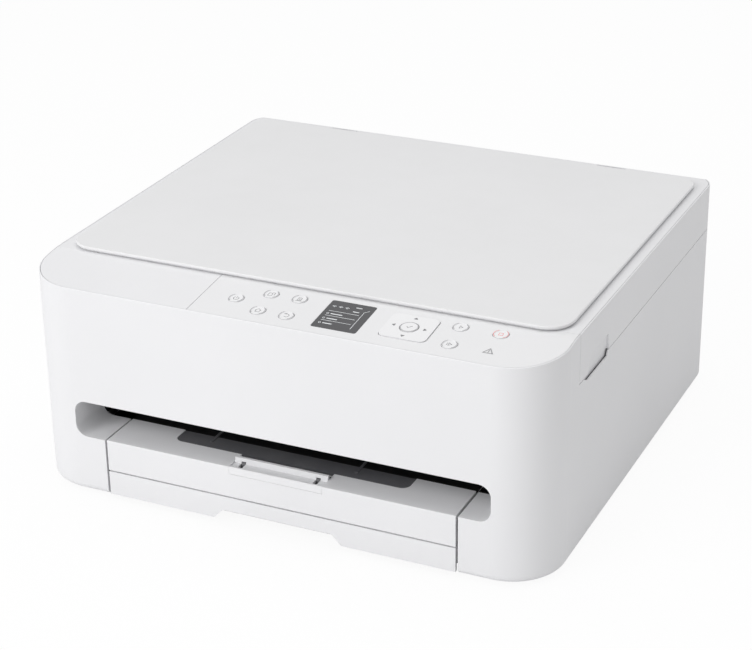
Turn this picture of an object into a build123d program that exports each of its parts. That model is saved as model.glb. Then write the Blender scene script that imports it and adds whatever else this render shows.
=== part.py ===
"""A compact inkjet multifunction printer: flatbed scanner over a front-loading print engine.

Millimetres. +Z is up, +Y points to the back, +X to the right as seen from the front.
The origin is on the table under the middle of the overall box.
The model reads from the outside in: casing, scanner unit, cover, control panel, trays, then the engine.
"""

import math
import os

from build123d import *

os.makedirs("parts", exist_ok=True)

# Overall casing
body_width = 376.0
body_depth = 347.0
rear_bulge = 11.0  # how far the rear cover stands behind the casing's back wall
foot_height = 3.0
top_height = 159.0  # flat top of the scanner frame
front_drop = 5.0  # the control strip falls by this to the front edge
panel_depth = 48.0  # depth of the sloping control strip
unit_height = 34.6  # from the parting line to the top of the scanner unit
wall = 2.5
seam = 0.5  # open parting line between mouldings
fit_gap = 0.4  # gap round an inset panel or tray
front_radius = 37.0
rear_radius = 16.0
bottom_round = 5.0
edge_round = 0.6
rim = 0.8  # casing wall left standing round the top of the scanner unit
rim_gap = 0.3

front_height = top_height - front_drop
seam_height = top_height - unit_height
front_y = -(body_depth + rear_bulge) / 2
back_y = front_y + body_depth
half_width = body_width / 2
panel_back_y = front_y + panel_depth
floor_top = foot_height + wall
slope_angle = math.degrees(math.atan2(top_height - front_height, panel_depth))
inside_x = half_width - wall  # inner face of the casing's side walls
engine_y = back_y - 168  # the print engine keeps its distance to the back: its stations count from here

# Feet
foot_radius = 9.0
foot_inset = 34.0

# Scanner unit
tall_front_depth = 53.6  # how far back the casing's side walls stay full height
unit_low = seam_height + seam
unit_floor = 2.0
tick_gap = 0.25  # upright parting line behind the tall front walls
frame_thickness = 2.5
hinge_inset = 6.3  # scanner hinge axis to the back face
hinge_height = seam_height + 0.6
hinge_relief = 3.6  # the unit's rear edge stands this far above the parting line
knuckle_radius = 3.2
knuckle_length = 10.0
hinge_x = half_width - 53
hinge_pin_radius = 1.6
pin_clearance = 0.05
tick_y = front_y + tall_front_depth

# Finger notches at the sides
notch_rear = 110.0  # from the front face
notch_length = 41.0
notch_dip = 3.6
notch_height = 11.5
notch_depth = 2.2
notch_lip = 0.6  # depth of the scoop at its upper edge
notch_edge = 1.0  # thickness of the casing wall along the dip

# Glass and reading bar
glass_width = body_width - 70
glass_depth = 222.0
glass_thickness = 2.8
glass_front = 63.0  # from the front face to the glass
glass_ledge = 5.0
bar_width = 18.0
bar_height = 14.0
bar_end_gap = 6.0
rail_radius = 3.0
rail_height = seam_height + 8.6
rail_y = front_y + 175
rail_block = 6.0  # half depth of the blocks that hold the rail
rail_x = inside_x - 20.5  # middle of the blocks that hold the rail

# Document cover
cover_side_inset = 8.0
cover_front = 48.0
cover_rear_inset = 15.0
cover_thickness = 3.2
cover_float = 0.4
cover_radius = 18.0
cover_undercut = 1.6
cover_skin = 2.0
pad_gap = 1.0  # pad edge to the glass opening
cover_hinge_x = half_width - 78
cover_axis_inset = 10.0  # behind it lies the casing's back face
cover_axis_drop = 3.6
cover_barrel_radius = 2.9
cover_barrel_length = 13.0
cover_pin_radius = 1.4
ear_thickness = 3.0
ear_gap = 0.3
well_width = 22.4
stem_depth = 8.0
stem_length = 20.0

# Control panel, in its own sloping plane: u runs to the right, v runs up the slope from the front edge
panel_left = -60.0
key_radius = 5.1
key_gap = 0.3
key_travel = 0.6
key_flange = 1.2
key_depth = 5.2
key_places = {
    "key_power": (-36.0, 24.4),
    "key_copy": (-16.6, 36.3),
    "key_scan": (3.9, 36.3),
    "key_home": (-15.2, 14.6),
    "key_back": (5.0, 14.6),
    "key_start_black": (115.2, 37.0),
    "key_start_colour": (116.6, 15.6),
    "key_stop": (142.0, 37.0),
}
alarm_place = (142.4, 15.4)
display_width = 31.2
display_height = 34.4
display_middle = (40.4, 25.4)
display_thickness = 1.4
nav_width = 32.0
nav_height = 28.4
nav_radius = 4.0
nav_middle = (85.2, 25.8)
nav_pin_radius = 1.2
board_thickness = 1.6

# Delivery slot
slot_half_width = half_width - 37
slot_low = 45.2
slot_high = 71.5
slot_radius = 8.5
slot_recess = 32.0
slot_sheet = 2.2

# Cassette and delivery tray
bay_half_width = half_width - 59
bay_gap = 1.6  # open gap on either side of the cassette and the tray
split_gap = 1.2  # open line between cassette front and tray front
split_height = 22.4  # line between cassette front and delivery tray front
front_low = 4.5
cassette_length = 300.0
cassette_floor = 12.0
floor_sheet = 1.6
tray_wall = 2.0
finger_half_width = 40.0
finger_flare = 7.0
finger_height = 7.2
guide_reach = bay_half_width - 22
guide_top = 21.8
rack_module = 1.5
pinion_teeth = 12
rack_thickness = 2.2
guide_y = front_y + 189
tray_top = 45.5
tray_sheet = 2.8
tray_length = 118.0
insert_front = 18.8
insert_half_width = 86.0
insert_radius = 6.0
insert_sheet = 2.0
extension_half_width = 40.0
extension_length = 96.0
extension_sheet = 1.8
stop_half_width = 34.0
stop_block = 5.0  # solid end of the stop, outside its pivot pocket
stop_pocket = 3.2  # width of a pivot pocket

# Print engine
deck_low = 46.0
deck_sheet = 2.5
chassis_y = engine_y + 106
sheet = 1.2
left_ear_x = -inside_x + 29.5  # inner face of the left side plate
right_ear_x = inside_x - 5.5  # inner face of the right side plate
rear_top_round = 5.0
chassis_low = 72.0
chassis_high = seam_height - 3.4
shaft_rod_radius = 4.0
shaft_rod_y = engine_y + 86
shaft_rod_z = 80.0
gear_module = 1.0
feed_teeth = 38
idler_teeth = 26
exit_teeth = 30
motor_teeth = 12
gear_width = 5.0
feed_y = engine_y + 78
roller_z = 60.0
feed_radius = 6.3
exit_radius = 5.0
shaft_radius = 4.0
exit_shaft_radius = 3.0
roller_half_length = half_width - 78
star_radius = 5.0
star_sheet = 1.0
transport_y = engine_y + 138
transport_z = 40.0
transport_radius = 19.5
paper_gap = 3.5
running = 0.05
carriage_width = 80.0
carriage_park = right_ear_x - 42
carriage_low = 67.2
carriage_high = 106.0
cartridge_width = 34.0
cartridge_offset = 18.0  # cartridge middles to the carriage middle
belt_z = chassis_high - 23
pulley_radius = 6.0
belt_width = 5.0
belt_sheet = 1.0
drive_pulley_x = right_ear_x - 15
idle_pulley_x = left_ear_x + 13
motor_radius = 13.0
motor_length = 20.0

# Rear cover
door_half_width = half_width - 63.4
door_low = 13.4
door_high = 99.6
door_axis_y = back_y + 4
door_axis_z = 17.0
door_pin_radius = 2.0
door_round = 6.0

# Electrics
inlet_x = -half_width + 28
data_x = half_width - 30.5
main_board_x = inside_x - 51.5
screw_places = [(x, y) for x in (38 - half_width, half_width - 38) for y in (front_y + 59, back_y - 48)]

# Working points that follow from the sizes above
frame_low, frame_high = front_height - 14, top_height + 12
cartridge_places = (carriage_park - cartridge_offset, carriage_park + cartridge_offset)
roller_gear_y = feed_y - gear_module * (feed_teeth + idler_teeth) / 2
exit_y = roller_gear_y - gear_module * (idler_teeth + exit_teeth) / 2
motor_mesh = gear_module * (feed_teeth + motor_teeth) / 2
motor_bearing = -60.0
motor_y = feed_y + motor_mesh * math.cos(math.radians(motor_bearing))
motor_z = roller_z + motor_mesh * math.sin(math.radians(motor_bearing))
tray_back_y = front_y + tray_length
tray_low = tray_top - tray_sheet
cassette_end_y = front_y + cassette_length
hinge_y = back_y - hinge_inset
glass_y = (front_y + glass_front, front_y + glass_front + glass_depth)
cover_y = (front_y + cover_front, back_y - cover_rear_inset)
cover_low = top_height + cover_float
cover_high = cover_low + cover_thickness
cover_axis_y = back_y - cover_axis_inset
cover_axis_z = top_height - cover_axis_drop
well_floor = cover_axis_z - stem_length - 2.9
panel_plane = Plane(origin=(0, front_y, front_height), x_dir=(1, 0, 0),
                    z_dir=(0, -math.sin(math.radians(slope_angle)), math.cos(math.radians(slope_angle))))


def block(x, y, z, mode=Mode.ADD):
    """A box given by its low and high edge on each axis."""
    with Locations(((x[0] + x[1]) / 2, (y[0] + y[1]) / 2, (z[0] + z[1]) / 2)):
        Box(x[1] - x[0], y[1] - y[0], z[1] - z[0], mode=mode)


def bar_x(x, y, z, radius, mode=Mode.ADD):
    """A round bar along X between two stations."""
    with Locations(Location(((x[0] + x[1]) / 2, y, z), (0, 90, 0))):
        Cylinder(radius, x[1] - x[0], mode=mode)


def bar_y(x, y, z, radius, mode=Mode.ADD):
    """A round bar along Y between two stations."""
    with Locations(Location((x, (y[0] + y[1]) / 2, z), (90, 0, 0))):
        Cylinder(radius, y[1] - y[0], mode=mode)


def bar_z(x, y, z, radius, mode=Mode.ADD):
    """A round bar along Z between two stations."""
    with Locations((x, y, (z[0] + z[1]) / 2)):
        Cylinder(radius, z[1] - z[0], mode=mode)


def save(piece, name):
    """Labels a finished piece and writes it as one STEP file."""
    piece.part.label = name
    export_step(piece.part, f"parts/{name}.step")


def rounded_plan(width, y, front, rear):
    """A rectangle seen from above with its own front and rear corner radius."""
    with BuildSketch(mode=Mode.PRIVATE) as plan:
        with Locations((0, (y[0] + y[1]) / 2)):
            Rectangle(width, y[1] - y[0])
        fillet(plan.vertices().group_by(Axis.Y)[-1], rear)
        fillet(plan.vertices().group_by(Axis.Y)[0], front)
    return plan.sketch


def body_plan(inset):
    """The casing's outline seen from above, drawn in by inset."""
    return rounded_plan(body_width - 2 * inset, (front_y + inset, back_y - inset),
                        front_radius - inset, rear_radius - inset)


def unit_plan(inset):
    """The scanner tub's outline: full width behind the tall front walls, inside them in front."""
    with BuildSketch(mode=Mode.PRIVATE) as plan:
        add(body_plan(inset))
        with Locations((0, front_y + (tall_front_depth + tick_gap + inset) / 2)):
            Rectangle(body_width * 2, tall_front_depth + tick_gap + inset, mode=Mode.SUBTRACT)
        add(body_plan(wall + fit_gap + inset))
    return plan.sketch


def top_slab(thickness, above=0.0):
    """Side view of the top surface with its sloping front, as a slab that hangs thickness below it."""
    with BuildSketch(mode=Mode.PRIVATE) as side:
        Polygon(
            (front_y, front_height + above), (panel_back_y, top_height + above),
            (back_y, top_height + above), (back_y, top_height - thickness),
            (panel_back_y, top_height - thickness), (front_y, front_height - thickness),
            align=None)
    return side.sketch


def frame_seat(depth):
    """The rebate that takes the top frame and the control panel, with the rim left standing round it."""
    with BuildPart(mode=Mode.PRIVATE) as seat:
        with BuildSketch(Plane.XY.offset(frame_low)):
            add(body_plan(rim))
        extrude(amount=frame_high - frame_low)
        with BuildSketch(Plane.YZ):
            add(top_slab(depth, frame_high - front_height))
        extrude(amount=half_width, both=True, mode=Mode.INTERSECT)
    return seat.part


def gear_plan(teeth, module, phase):
    """A spur gear's outline: straight-flanked teeth, thinned for backlash."""
    tip = module * (teeth / 2 + 0.85)
    root = module * (teeth / 2 - 1.2)
    tip_half, root_half = 0.30 * module / tip, 0.80 * module / root
    points = []
    for n in range(teeth):
        middle = math.radians(phase) + 2 * math.pi * n / teeth
        for radius, turn in ((root, -root_half), (tip, -tip_half), (tip, tip_half), (root, root_half)):
            points.append((radius * math.cos(middle + turn), radius * math.sin(middle + turn)))
    with BuildSketch(mode=Mode.PRIVATE) as plan:
        Polygon(*points, align=None)
    return plan.sketch


def mesh_phase(phase, teeth, bearing, other_teeth):
    """The phase that lets a second gear mesh with the first one, seen at bearing from the first."""
    share = ((bearing - phase) * teeth / 360) % 1
    return bearing + 180 + (share - 0.5) * 360 / other_teeth


def gear_x(teeth, x, y, z, phase):
    """A spur gear on an axis along X, in the current part."""
    with BuildSketch(Plane(origin=(x, y, z), x_dir=(0, 1, 0), z_dir=(1, 0, 0))) as outline:
        add(gear_plan(teeth, gear_module, phase))
    extrude(outline.sketch, amount=gear_width)


def cut_rear_round():
    """Rounds the long rear top edge of the current part."""
    with BuildSketch(Plane.YZ) as corner:
        with Locations((back_y, top_height)):
            Rectangle(2 * rear_top_round, 2 * rear_top_round)
        with Locations((back_y - rear_top_round, top_height - rear_top_round)):
            Circle(rear_top_round, mode=Mode.SUBTRACT)
        with Locations((back_y - rear_top_round, top_height + rear_top_round / 2)):
            Rectangle(4 * rear_top_round, rear_top_round, mode=Mode.SUBTRACT)
    extrude(corner.sketch, amount=half_width, both=True, mode=Mode.SUBTRACT)


# The lower casing: one wrap-round moulding with tall front corners, open behind for the rear cover.
with BuildPart() as main_casing:
    with BuildSketch(Plane.XY.offset(foot_height)):
        add(body_plan(0))
    extrude(amount=top_height - foot_height)
    fillet(main_casing.edges().group_by(Axis.Z)[0], bottom_round)
    with BuildSketch(Plane.YZ):
        with BuildLine():
            Polyline((front_y - 1, front_height - 0.1), (panel_back_y, top_height),
                     (panel_back_y, top_height + 5), (front_y - 1, top_height + 5), close=True)
        make_face()
    extrude(amount=half_width, both=True, mode=Mode.SUBTRACT)
    block((-half_width, half_width), (tick_y, back_y), (seam_height, top_height + 1), Mode.SUBTRACT)
    fillet(main_casing.edges().filter_by_position(Axis.Z, front_height - 0.3, top_height + 0.1), edge_round)
    with BuildSketch(Plane.XY.offset(floor_top)):
        add(body_plan(wall))
    extrude(amount=top_height, mode=Mode.SUBTRACT)
    with BuildSketch(Plane.XY.offset(foot_height)):
        add(body_plan(10))
    extrude(amount=wall, mode=Mode.SUBTRACT)
    add(frame_seat(frame_thickness + 0.5), mode=Mode.SUBTRACT)
    # delivery slot and cassette opening in the front
    with BuildSketch(Plane.XZ.offset(-front_y)):
        with Locations((0, (slot_low + slot_high) / 2)):
            RectangleRounded(2 * slot_half_width, slot_high - slot_low, slot_radius)
        with Locations((0, (slot_low + slot_radius + foot_height) / 2)):
            Rectangle(2 * bay_half_width, slot_low + slot_radius - foot_height)
    extrude(amount=-10, mode=Mode.SUBTRACT)
    # finger notches in the side walls
    with BuildSketch(Plane.YZ):
        with BuildLine():
            Polyline((front_y + notch_rear, seam_height + 1), (front_y + notch_rear - 3, seam_height - notch_dip),
                     (front_y + notch_rear - notch_length, seam_height - notch_dip),
                     (front_y + notch_rear - notch_length - 9, seam_height + 1), close=True)
        make_face()
    extrude(amount=half_width, both=True, mode=Mode.SUBTRACT)
    for side in (-1, 1):
        low_x, high_x = sorted((side * (inside_x - 0.1), side * (half_width - notch_edge)))
        block((low_x, high_x), (front_y + notch_rear - notch_length - 4, front_y + notch_rear + 4),
              (seam_height - notch_dip - 2.4, seam_height + 1), Mode.SUBTRACT)
    # rear openings: paper path cover, mains inlet, data socket
    block((-door_half_width - fit_gap, door_half_width + fit_gap), (back_y - 4, back_y + 1),
          (door_low - fit_gap, door_high + fit_gap), Mode.SUBTRACT)
    block((inlet_x - 12, inlet_x + 12), (back_y - 4, back_y + 1), (66, 84), Mode.SUBTRACT)
    block((data_x - 8, data_x + 8), (back_y - 4, back_y + 1), (13.5, 25.5), Mode.SUBTRACT)
    for side in (-1, 1):
        # scanner hinge knuckles inside the rear wall, two round each of the unit's own
        for offset in (-knuckle_length, knuckle_length):
            low_x = side * hinge_x + offset * 1.03 - knuckle_length / 2
            block((low_x, low_x + knuckle_length), (hinge_y, back_y - wall), (hinge_height - 13, hinge_height))
            bar_x((low_x, low_x + knuckle_length), hinge_y, hinge_height, knuckle_radius)
        bar_x((side * hinge_x - 15, side * hinge_x + 15), hinge_y, hinge_height, hinge_pin_radius)
        # outside lugs that carry the rear cover
        low_x, high_x = sorted((side * (door_half_width + 0.6), side * (door_half_width + 5)))
        block((low_x, high_x), (back_y - wall, door_axis_y), (door_axis_z - 4.5, door_axis_z + 4.5))
        bar_x((low_x, high_x), door_axis_y, door_axis_z, 4.5)
        bar_x((low_x, high_x), door_axis_y, door_axis_z, door_pin_radius + pin_clearance, Mode.SUBTRACT)
save(main_casing, "main_casing")

# The base pan closes the casing from below and carries the cassette runners.
with BuildPart() as base_pan:
    with BuildSketch(Plane.XY.offset(foot_height)):
        add(body_plan(10.3))
    extrude(amount=wall)
    with BuildSketch(Plane.XY.offset(floor_top)):
        add(body_plan(4))
    extrude(amount=2)
    block((-bay_half_width - 1, bay_half_width + 1), (front_y, front_y + 13), (0, 10), Mode.SUBTRACT)
    for side in (-1, 1):
        low_x, high_x = sorted((side * (bay_half_width + 0.6), side * (bay_half_width + 3.1)))
        block((low_x, high_x), (front_y + 5, engine_y + 112), (floor_top + 2, 42.2))
        block((low_x, high_x), (tray_back_y + 1, engine_y + 112), (42.2, deck_low))
        low_x, high_x = sorted((side * (bay_half_width - 3), side * (bay_half_width + 1)))
        block((low_x, high_x), (front_y + 5, tray_back_y + 3), (39.8, 42.2))
        block((side * (bay_half_width - 29) - 2, side * (bay_half_width - 29) + 2), (front_y + 14, engine_y + 118), (floor_top + 2, cassette_floor - 0.1))
    with Locations(*[(x, y, 0) for x, y in screw_places]):
        Cylinder(1.5, 30, mode=Mode.SUBTRACT)
save(base_pan, "base_pan")

foot_places = [(sx * (half_width - foot_inset), y) for sx in (-1, 1) for y in (front_y + foot_inset, back_y - foot_inset)]
with BuildPart() as feet:
    for x, y in foot_places:
        bar_z(x, y, (0, foot_height), foot_radius)
    chamfer(feet.edges().group_by(Axis.Z)[0], 0.6)
save(feet, "feet")

with BuildPart() as base_screws:
    for x, y in screw_places:
        bar_z(x, y, (1.2, foot_height), 3.0)
        bar_z(x, y, (foot_height, 12), 1.45)
        with Locations((x, y, 1.2)):
            Box(3.4, 0.8, 1.4, mode=Mode.SUBTRACT)
            Box(0.8, 3.4, 1.4, mode=Mode.SUBTRACT)
save(base_screws, "base_screws")

# White moulding round the inside of the delivery slot.
slot_back_y = front_y + wall + slot_recess
with BuildPart() as slot_surround:
    with BuildSketch(Plane.XZ.offset(-(front_y + wall))):
        with Locations((0, (slot_low + slot_high) / 2)):
            RectangleRounded(2 * (slot_half_width + slot_sheet), slot_high - slot_low + 2 * slot_sheet,
                             slot_radius + slot_sheet)
            RectangleRounded(2 * slot_half_width, slot_high - slot_low, slot_radius, mode=Mode.SUBTRACT)
    extrude(amount=-slot_recess)
    block((-bay_half_width - 0.1, bay_half_width + 0.1), (front_y, slot_back_y + 1),
          (slot_low - 4.5, slot_low + 1.5), Mode.SUBTRACT)
    with BuildSketch(Plane.XY.offset(slot_low - 15)):
        add(body_plan(wall + 0.05))
    extrude(amount=slot_high - slot_low + 30, mode=Mode.INTERSECT)
save(slot_surround, "slot_surround")

# Black tunnel behind the slot and the deck that the print engine stands on.
arm_y = engine_y + 95  # axis of the pick-up arm
with BuildPart() as paper_tunnel:
    block((-slot_half_width, slot_half_width), (slot_back_y, engine_y + 6), (deck_low, slot_high + 2.1))
    block((2 - slot_half_width, slot_half_width - 2), (slot_back_y - 1, engine_y + 7), (deck_low - 1, slot_high + 0.1), Mode.SUBTRACT)
    block((1.5 - slot_half_width, slot_half_width - 1.5), (tray_back_y + 0.5, engine_y + 112),
          (deck_low, deck_low + deck_sheet))
    block((left_ear_x + 6, left_ear_x + 22), (motor_y - 15, motor_y + 15), (deck_low - 1, deck_low + 4), Mode.SUBTRACT)
    # ribbed platen between the two rollers
    block((-roller_half_length, roller_half_length), (engine_y + 26, engine_y + 69), (62.6, 64.6))
    for n in range(-8, 9):
        x = 13 * n
        if abs(x) < roller_half_length - 5:
            block((x - 0.6, x + 0.6), (engine_y + 26, engine_y + 69), (64.6, 65.6))
    for x in (5 - roller_half_length, -60, 0, 60, roller_half_length - 5):
        block((x - 2, x + 2), (engine_y + 28, engine_y + 67), (deck_low + deck_sheet, 62.6))
    # bearings of the pick-up arm
    for x in (-18.2, 18.2):
        block((x - 1.5, x + 1.5), (arm_y - 4, arm_y + 4), (33.5, deck_low))
        bar_x((x - 1.5, x + 1.5), arm_y, 38, 2.05, Mode.SUBTRACT)
save(paper_tunnel, "paper_tunnel")

# Sheet-metal chassis: rear plate, a side plate at each end, the carriage rod and the gear studs.
gear_face = left_ear_x - sheet
rear_idler_y, rear_idler_z = engine_y + 109.55, 54.65
with BuildPart() as chassis:
    block((left_ear_x, right_ear_x), (chassis_y, chassis_y + sheet), (chassis_low, chassis_high))
    block((left_ear_x, right_ear_x), (chassis_y - 12, chassis_y), (chassis_high - sheet, chassis_high))
    for x in (gear_face, right_ear_x):
        block((x, x + sheet), (engine_y + 8, engine_y + 147), (floor_top + 2, chassis_high))
        bar_x((x, x + sheet), feed_y, roller_z, shaft_radius + running, Mode.SUBTRACT)
        bar_x((x, x + sheet), exit_y, roller_z, exit_shaft_radius + running, Mode.SUBTRACT)
        bar_x((x, x + sheet), transport_y, transport_z, shaft_radius + running, Mode.SUBTRACT)
    bar_x((gear_face - 0.6, right_ear_x + sheet + 0.6), shaft_rod_y, shaft_rod_z, shaft_rod_radius)
    bar_x((gear_face, left_ear_x), motor_y, motor_z, 5.0, Mode.SUBTRACT)
    for y, z in ((roller_gear_y, roller_z), (rear_idler_y, rear_idler_z)):
        bar_x((gear_face - 6.8, gear_face), y, z, 2.0)
    bar_y(drive_pulley_x, (chassis_y, chassis_y + sheet), belt_z, 5.0, Mode.SUBTRACT)
    bar_y(idle_pulley_x, (chassis_y - 10.5, chassis_y), belt_z, 2.0)
save(chassis, "chassis")

# Paper drive: gears stand outside the left side plate.
gear_x0 = gear_face - 6.0
feed_phase = 0.0
idler_phase = mesh_phase(feed_phase, feed_teeth, 180.0, idler_teeth)
exit_phase = mesh_phase(idler_phase, idler_teeth, 180.0, exit_teeth)
pinion_phase = mesh_phase(feed_phase, feed_teeth, motor_bearing, motor_teeth)
rear_bearing = math.degrees(math.atan2(rear_idler_z - roller_z, rear_idler_y - feed_y))
rear_phase = mesh_phase(feed_phase, feed_teeth, rear_bearing, idler_teeth)
last_bearing = math.degrees(math.atan2(transport_z - rear_idler_z, transport_y - rear_idler_y))
transport_phase = mesh_phase(rear_phase, idler_teeth, last_bearing, feed_teeth)

with BuildPart() as feed_roller:
    bar_x((gear_x0 - 1, right_ear_x + sheet + 1), feed_y, roller_z, shaft_radius)
    gear_x(feed_teeth, gear_x0, feed_y, roller_z, feed_phase)
    for x in (-72, -36, 0, 36, 72):
        bar_x((x - 12, x + 12), feed_y, roller_z, feed_radius)
save(feed_roller, "feed_roller")

with BuildPart() as idler_gear:
    gear_x(idler_teeth, gear_x0, roller_gear_y, roller_z, idler_phase)
    bar_x((gear_x0, gear_x0 + gear_width), roller_gear_y, roller_z, 2.0 + pin_clearance, Mode.SUBTRACT)
save(idler_gear, "idler_gear")

with BuildPart() as rear_idler_gear:
    gear_x(idler_teeth, gear_x0, rear_idler_y, rear_idler_z, rear_phase)
    bar_x((gear_x0, gear_x0 + gear_width), rear_idler_y, rear_idler_z, 2.0 + pin_clearance, Mode.SUBTRACT)
save(rear_idler_gear, "rear_idler_gear")

with BuildPart() as exit_roller:
    bar_x((gear_x0 - 1, right_ear_x + sheet + 1), exit_y, roller_z, exit_shaft_radius)
    gear_x(exit_teeth, gear_x0, exit_y, roller_z, exit_phase)
    for x in (-96, -48, 0, 48, 96):
        bar_x((x - 7, x + 7), exit_y, roller_z, exit_radius)
save(exit_roller, "exit_roller")

with BuildPart() as transport_roller:
    bar_x((gear_x0 - 1, right_ear_x + sheet + 1), transport_y, transport_z, shaft_radius)
    gear_x(feed_teeth, gear_x0, transport_y, transport_z, transport_phase)
    for x in (-60, 0, 60):
        bar_x((x - 16, x + 16), transport_y, transport_z, transport_radius)
        bar_x((x - 16, x - 3), transport_y, transport_z, transport_radius - 3, Mode.SUBTRACT)
        bar_x((x - 16, x - 3), transport_y, transport_z, shaft_radius + 3)
save(transport_roller, "transport_roller")

with BuildPart() as motor_pinion:
    gear_x(motor_teeth, gear_x0, motor_y, motor_z, pinion_phase)
    bar_x((gear_x0, left_ear_x + 7), motor_y, motor_z, 1.5)
save(motor_pinion, "motor_pinion")

with BuildPart() as motors:
    bar_x((left_ear_x, left_ear_x + motor_length), motor_y, motor_z, motor_radius)
    bar_x((left_ear_x, left_ear_x + 8), motor_y, motor_z, 1.5 + pin_clearance, Mode.SUBTRACT)
    bar_y(drive_pulley_x, (chassis_y + sheet, chassis_y + sheet + motor_length), belt_z, motor_radius)
    bar_y(drive_pulley_x, (chassis_y + sheet, chassis_y + 9), belt_z, 1.5 + pin_clearance, Mode.SUBTRACT)
save(motors, "motors")

pinch_z = roller_z + feed_radius + 2.5 + 0.1
star_z = roller_z + exit_radius + star_radius + 0.1
with BuildPart() as pinch_rollers:
    bar_x((-91.4, 91.4), feed_y, pinch_z, 1.0)
    for x in (-72, -36, 0, 36, 72):
        bar_x((x - 12, x + 12), feed_y, pinch_z, 2.5)
save(pinch_rollers, "pinch_rollers")

# Bearings of the pinch rollers and of the star wheels.
with BuildPart() as roller_holders:
    for x in (-90, -54, -18, 18, 54, 90):
        block((x - 1.5, x + 1.5), (feed_y - 3.5, chassis_y), (67.2, 72.2))
        block((x - 1.5, x + 1.5), (chassis_y - 10, chassis_y), (67.2, 78))
        bar_x((x - 1.5, x + 1.5), feed_y, pinch_z, 1.0 + pin_clearance, Mode.SUBTRACT)
    block((-91.5, 91.5), (chassis_y - 4, chassis_y), (72.6, 78))
    block((left_ear_x, right_ear_x), (exit_y - 8, exit_y + 7.4), (77, 80))
    for x in (-roller_half_length, roller_half_length, -36, 36):
        block((x - 1.4, x + 1.4), (exit_y - 4, exit_y + 4), (68, 77))
        bar_x((x - 1.4, x + 1.4), exit_y, star_z, 1.0 + pin_clearance, Mode.SUBTRACT)
save(roller_holders, "roller_holders")

star_places = [24 * n for n in range(-4, 5)]
with BuildPart() as star_wheels:
    bar_x((-roller_half_length - 1.4, roller_half_length + 1.4), exit_y, star_z, 1.0)
    for x in star_places:
        with BuildSketch(Plane(origin=(x - 0.5, exit_y, star_z), x_dir=(0, 1, 0), z_dir=(1, 0, 0))):
            Circle(star_radius - 1.4)
            with PolarLocations(0, 12):
                Polygon((0, -1.1), (star_radius, 0), (0, 1.1), align=None)
        extrude(amount=star_sheet)
save(star_wheels, "star_wheels")

with BuildPart() as service_station:
    block((carriage_park - 25, right_ear_x - 4), (engine_y + 28, engine_y + 70), (deck_low + deck_sheet, 62))
    block((carriage_park - 23, right_ear_x - 6), (engine_y + 30, engine_y + 68), (deck_low + deck_sheet + 2, 63), Mode.SUBTRACT)
    for x in cartridge_places:
        block((x - 7, x + 7), (engine_y + 38, engine_y + 62), (deck_low + deck_sheet, 66.3))
        block((x - 5.4, x + 5.4), (engine_y + 39.6, engine_y + 60.4), (63, 66.4), Mode.SUBTRACT)
    block((carriage_park - 2, carriage_park + 2), (engine_y + 40, engine_y + 60), (deck_low + deck_sheet, 62))
    block((carriage_park - 0.6, carriage_park + 0.6), (engine_y + 40, engine_y + 60), (62, 66.4))
save(service_station, "service_station")


# Carriage on its rod, with two cartridges.
with BuildPart() as carriage:
    low_x, high_x = carriage_park - carriage_width / 2, carriage_park + carriage_width / 2
    block((low_x, high_x), (engine_y + 27, engine_y + 73.5), (carriage_low, carriage_high))
    fillet(carriage.edges().filter_by(Axis.Z), 3)
    block((low_x + 2, high_x - 2), (engine_y + 29, engine_y + 71.5), (carriage_low + 2, carriage_high + 1), Mode.SUBTRACT)
    block((carriage_park - 1, carriage_park + 1), (engine_y + 28, engine_y + 72.5), (carriage_low + 2, 96))
    for x in cartridge_places:
        block((x - 9, x + 9), (engine_y + 38, engine_y + 62), (carriage_low - 1, carriage_low + 3), Mode.SUBTRACT)
    block((low_x, high_x), (engine_y + 72, engine_y + 93), (73, 87))
    block((low_x + 8, high_x - 8), (engine_y + 21.8, engine_y + 28), (80.3, 83))
    block((carriage_park - 8, carriage_park + 8), (engine_y + 91, engine_y + 103), (86, belt_z - 2.6))
    block((carriage_park - 9, carriage_park + 9), (engine_y + 96.8, engine_y + 104),
          (belt_z - 7.5, belt_z - 5.7), Mode.SUBTRACT)
    bar_x((low_x, high_x), shaft_rod_y, shaft_rod_z, shaft_rod_radius + running, Mode.SUBTRACT)
save(carriage, "carriage")

with BuildPart() as cartridges:
    for x in cartridge_places:
        block((x - cartridge_width / 2, x + cartridge_width / 2), (engine_y + 30, engine_y + 71), (carriage_low + 2, 104))
        block((x - 7, x + 7), (engine_y + 41, engine_y + 59), (66.7, carriage_low + 2))
    fillet(cartridges.edges().group_by(Axis.Z)[-1], 1.5)
    for x in cartridge_places:
        block((x - 6, x + 6), (engine_y + 29, engine_y + 34), (100, 102), Mode.SUBTRACT)
save(cartridges, "cartridges")

with BuildPart() as drive_belt:
    with BuildSketch(Plane.XZ.offset(-(chassis_y - 8.7))):
        with Locations(((drive_pulley_x + idle_pulley_x) / 2, belt_z)):
            SlotCenterToCenter(drive_pulley_x - idle_pulley_x, 2 * (pulley_radius + belt_sheet + 0.1))
            SlotCenterToCenter(drive_pulley_x - idle_pulley_x, 2 * (pulley_radius + 0.1), mode=Mode.SUBTRACT)
    extrude(amount=-belt_width + 0.5)
save(drive_belt, "drive_belt")

with BuildPart() as drive_pulley:
    bar_y(drive_pulley_x, (chassis_y - 9, chassis_y - 4), belt_z, pulley_radius)
    bar_y(drive_pulley_x, (chassis_y - 4, chassis_y + 8), belt_z, 1.5)
save(drive_pulley, "drive_pulley")

with BuildPart() as idle_pulley:
    bar_y(idle_pulley_x, (chassis_y - 9, chassis_y - 4), belt_z, pulley_radius)
    bar_y(idle_pulley_x, (chassis_y - 9, chassis_y - 4), belt_z, 2.0 + pin_clearance, Mode.SUBTRACT)
save(idle_pulley, "idle_pulley")

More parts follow.
